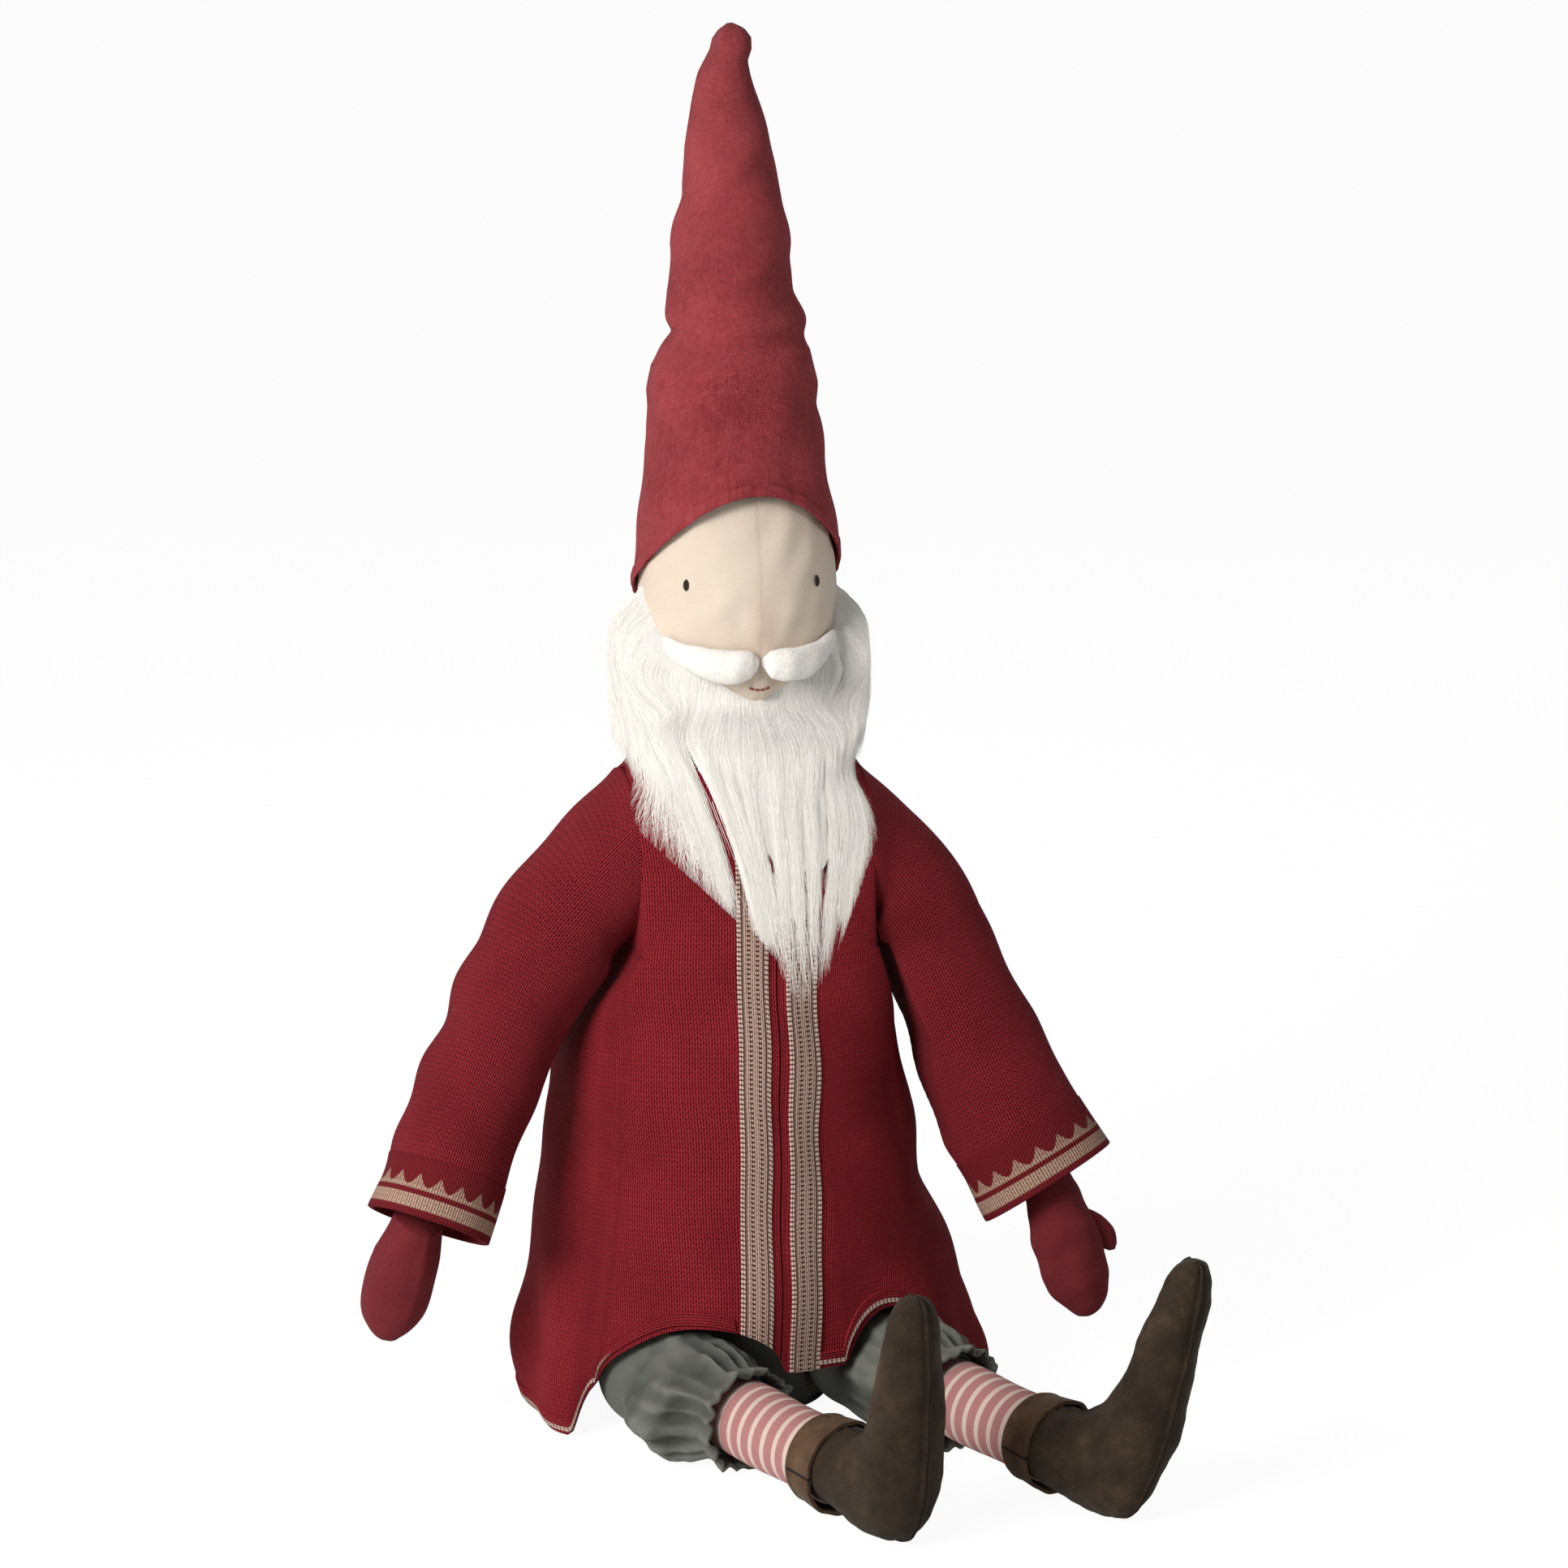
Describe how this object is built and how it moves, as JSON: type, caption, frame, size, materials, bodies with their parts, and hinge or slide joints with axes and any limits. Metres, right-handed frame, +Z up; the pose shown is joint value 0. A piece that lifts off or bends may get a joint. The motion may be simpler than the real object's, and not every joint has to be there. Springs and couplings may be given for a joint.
{
  "type": "tomte gnome figurine",
  "caption": "Sitting cloth gnome with a tall cone hat, wool beard, knitted coat, velvet breeches and pointed boots; its arms and legs swing at sewn joints.",
  "frame": {"origin": "under the middle of the seat, on the surface that the figure sits on", "axes": "+Z up, the figure faces -Y, its left hand is towards +X"},
  "size_m": [0.3678, 0.3247, 0.6687],
  "materials": {
    "inner_linen": "plain woven",
    "stuffing": "loose fibre",
    "weight_bag": "pellets in a cotton bag",
    "velvet": "cotton velvet",
    "thread": "waxed thread",
    "face_linen": "plain woven linen",
    "eye_thread": "embroidery thread",
    "mouth_thread": "embroidery thread",
    "felted_wool": "felted wool",
    "beard_wool": "combed wool fleece",
    "hat_canvas": "washed canvas",
    "coat_knit": "knitted wool",
    "woven_band": "patterned wool band",
    "cuff_knit": "patterned knitted wool",
    "mitten_felt": "wool felt",
    "elastic": "covered elastic",
    "striped_jersey": "striped cotton jersey",
    "boot_leather": "brushed soft leather",
    "boot_cuff_leather": "brushed soft leather, wrong side out"
  },
  "bodies": {
    "body": {"torso_cover": "inner_linen", "torso_stuffing": "stuffing", "seat_weight_bag": "weight_bag", "breeches_seat": "velvet", "shoulder_thread": "thread", "hip_thread": "thread", "head_right_panel": "face_linen", "head_left_panel": "face_linen", "head_stuffing": "stuffing", "right_eye": "eye_thread", "left_eye": "eye_thread", "mouth_stitch": "mouth_thread", "right_moustache": "felted_wool", "left_moustache": "felted_wool", "beard": "beard_wool", "hat": "hat_canvas", "hat_stuffing": "stuffing", "coat_back": "coat_knit", "coat_right_front": "coat_knit", "coat_left_front": "coat_knit", "right_front_band": "woven_band", "left_front_band": "woven_band", "hem_band": "woven_band", "neck_band": "woven_band"},
    "right_arm_body": {"right_sleeve": "coat_knit", "right_cuff_band": "cuff_knit", "right_arm": "inner_linen", "right_mitten": "mitten_felt"},
    "left_arm_body": {"left_sleeve": "coat_knit", "left_cuff_band": "cuff_knit", "left_arm": "inner_linen", "left_mitten": "mitten_felt"},
    "right_leg_body": {"right_breeches_leg": "velvet", "right_knee_elastic": "elastic", "right_leg": "striped_jersey", "right_boot": "boot_leather", "right_boot_cuff": "boot_cuff_leather"},
    "left_leg_body": {"left_breeches_leg": "velvet", "left_knee_elastic": "elastic", "left_leg": "striped_jersey", "left_boot": "boot_leather", "left_boot_cuff": "boot_cuff_leather"}
  },
  "joints": [
    {"name": "right_shoulder", "type": "hinge", "parent": "body", "child": "right_arm_body", "pos_m": [-0.0725, 0, 0.276], "axis": [-1, 0, 0], "range_deg": [-15, 100]},
    {"name": "left_shoulder", "type": "hinge", "parent": "body", "child": "left_arm_body", "pos_m": [0.0725, 0, 0.276], "axis": [-1, 0, 0], "range_deg": [-15, 100]},
    {"name": "right_hip", "type": "hinge", "parent": "body", "child": "right_leg_body", "pos_m": [-0.054, -0.045, 0.028], "axis": [1, 0, 0], "range_deg": [0, 85]},
    {"name": "left_hip", "type": "hinge", "parent": "body", "child": "left_leg_body", "pos_m": [0.05, -0.045, 0.028], "axis": [1, 0, 0], "range_deg": [0, 85]}
  ]
}
